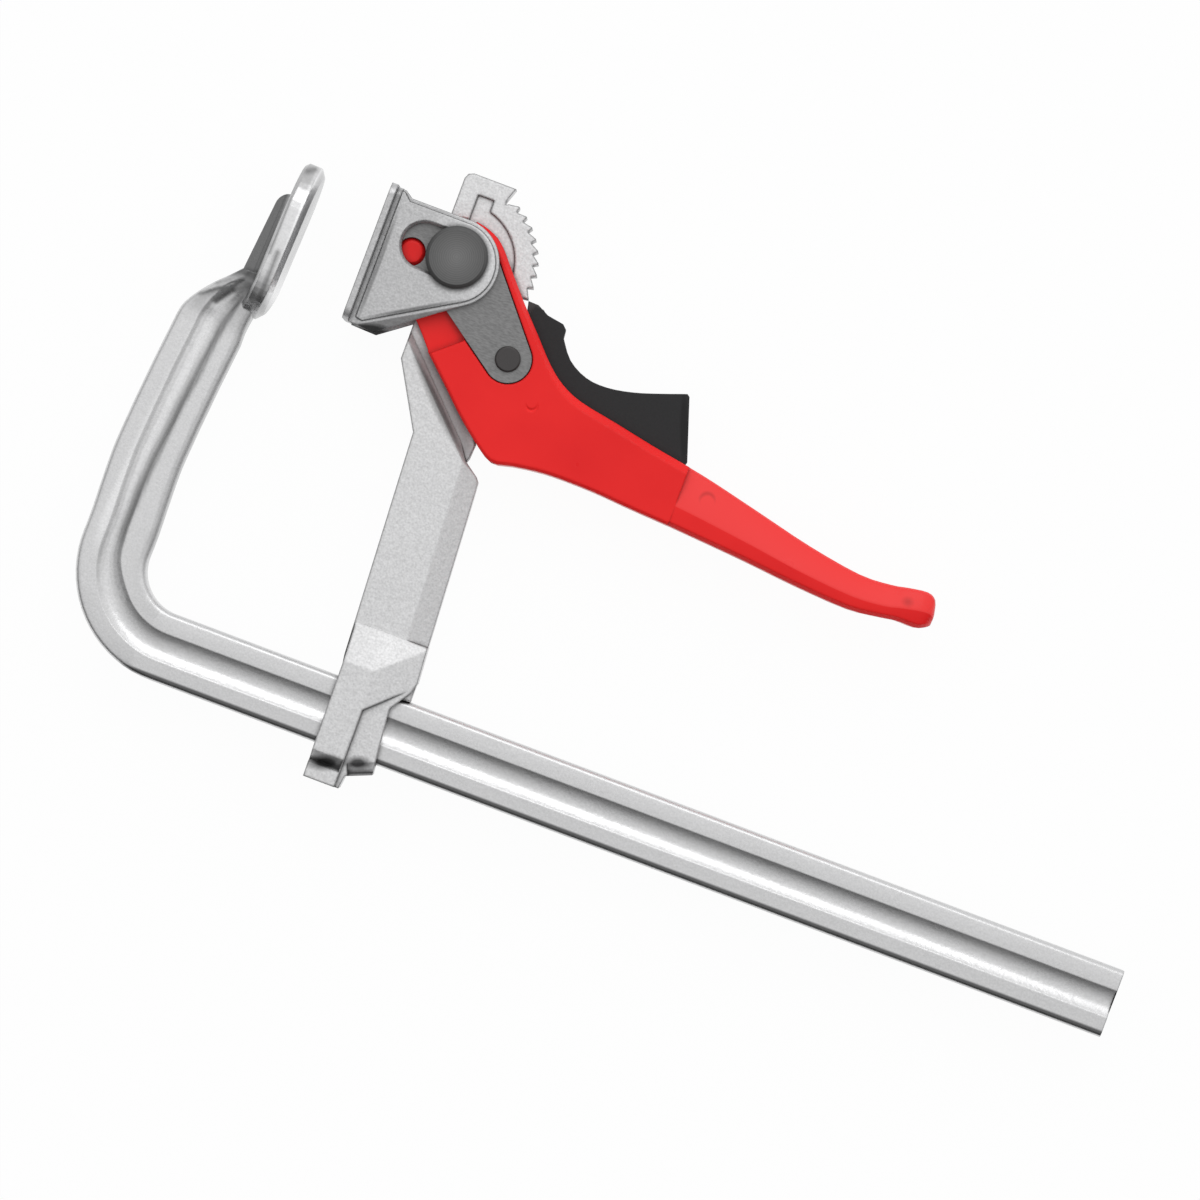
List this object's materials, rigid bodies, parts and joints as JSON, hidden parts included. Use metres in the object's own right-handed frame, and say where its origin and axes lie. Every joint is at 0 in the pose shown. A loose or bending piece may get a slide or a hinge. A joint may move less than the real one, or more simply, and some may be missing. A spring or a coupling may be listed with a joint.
{
  "type": "lever bar clamp",
  "caption": "All-steel lever bar clamp: forged rail with fixed jaw, sliding arm with ratchet head, cam lever with release trigger, slotted pressure pad.",
  "frame": {"origin": "centre of the fixed jaw's clamping face", "axes": "+X along the rail towards its free end, +Y from the rail up the arms, +Z through the clamp's thickness"},
  "size_m": [0.3931, 0.2168, 0.038],
  "materials": {
    "plated_steel": "zinc plated, fine satin grain",
    "plate_steel": "grey hardened plate, satin",
    "dark_pin_steel": "oiled dark steel, satin",
    "red_paint": "smooth semi-gloss powder coat",
    "black_plastic": "matt moulded plastic",
    "spring_steel": "drawn wire"
  },
  "bodies": {
    "rail": {"rail_with_fixed_jaw": "plated_steel"},
    "arm": {"sliding_arm": "plated_steel", "pivot_pin": "dark_pin_steel", "pivot_end_cap": "dark_pin_steel"},
    "pad": {"pressure_pad": "plated_steel"},
    "lever": {"lever": "red_paint", "side_plate_front": "plate_steel", "side_plate_back": "plate_steel", "pawl_rivet": "dark_pin_steel", "trigger_spring": "spring_steel"},
    "trigger": {"trigger": "black_plastic", "pawl": "dark_pin_steel"}
  },
  "joints": [
    {"name": "arm_slide", "type": "slide", "parent": "rail", "child": "arm", "axis": [1, 0, 0], "range_m": [-0.0232, 0.255]},
    {"name": "lever_hinge", "type": "hinge", "parent": "arm", "child": "lever", "pos_m": [0.0546, 0.0155, 0], "axis": [0, 0, 1], "range_deg": [0, 69.12]},
    {"name": "pad_slide", "type": "slide", "parent": "arm", "child": "pad", "axis": [1, 0, 0], "range_m": [0, 0.0086]},
    {"name": "trigger_hinge", "type": "hinge", "parent": "lever", "child": "trigger", "pos_m": [0.0834, -0.0111, 0], "axis": [0, 0, -1], "range_deg": [-5.6, 2.5], "stiffness_Nm_per_rad": 1.2, "springref_deg": -11.46, "deforming": ["trigger_spring"]}
  ],
  "couplings": [
    {"joint": "pad_slide", "follows": "lever_hinge", "m_per_rad": 0.00705}
  ]
}
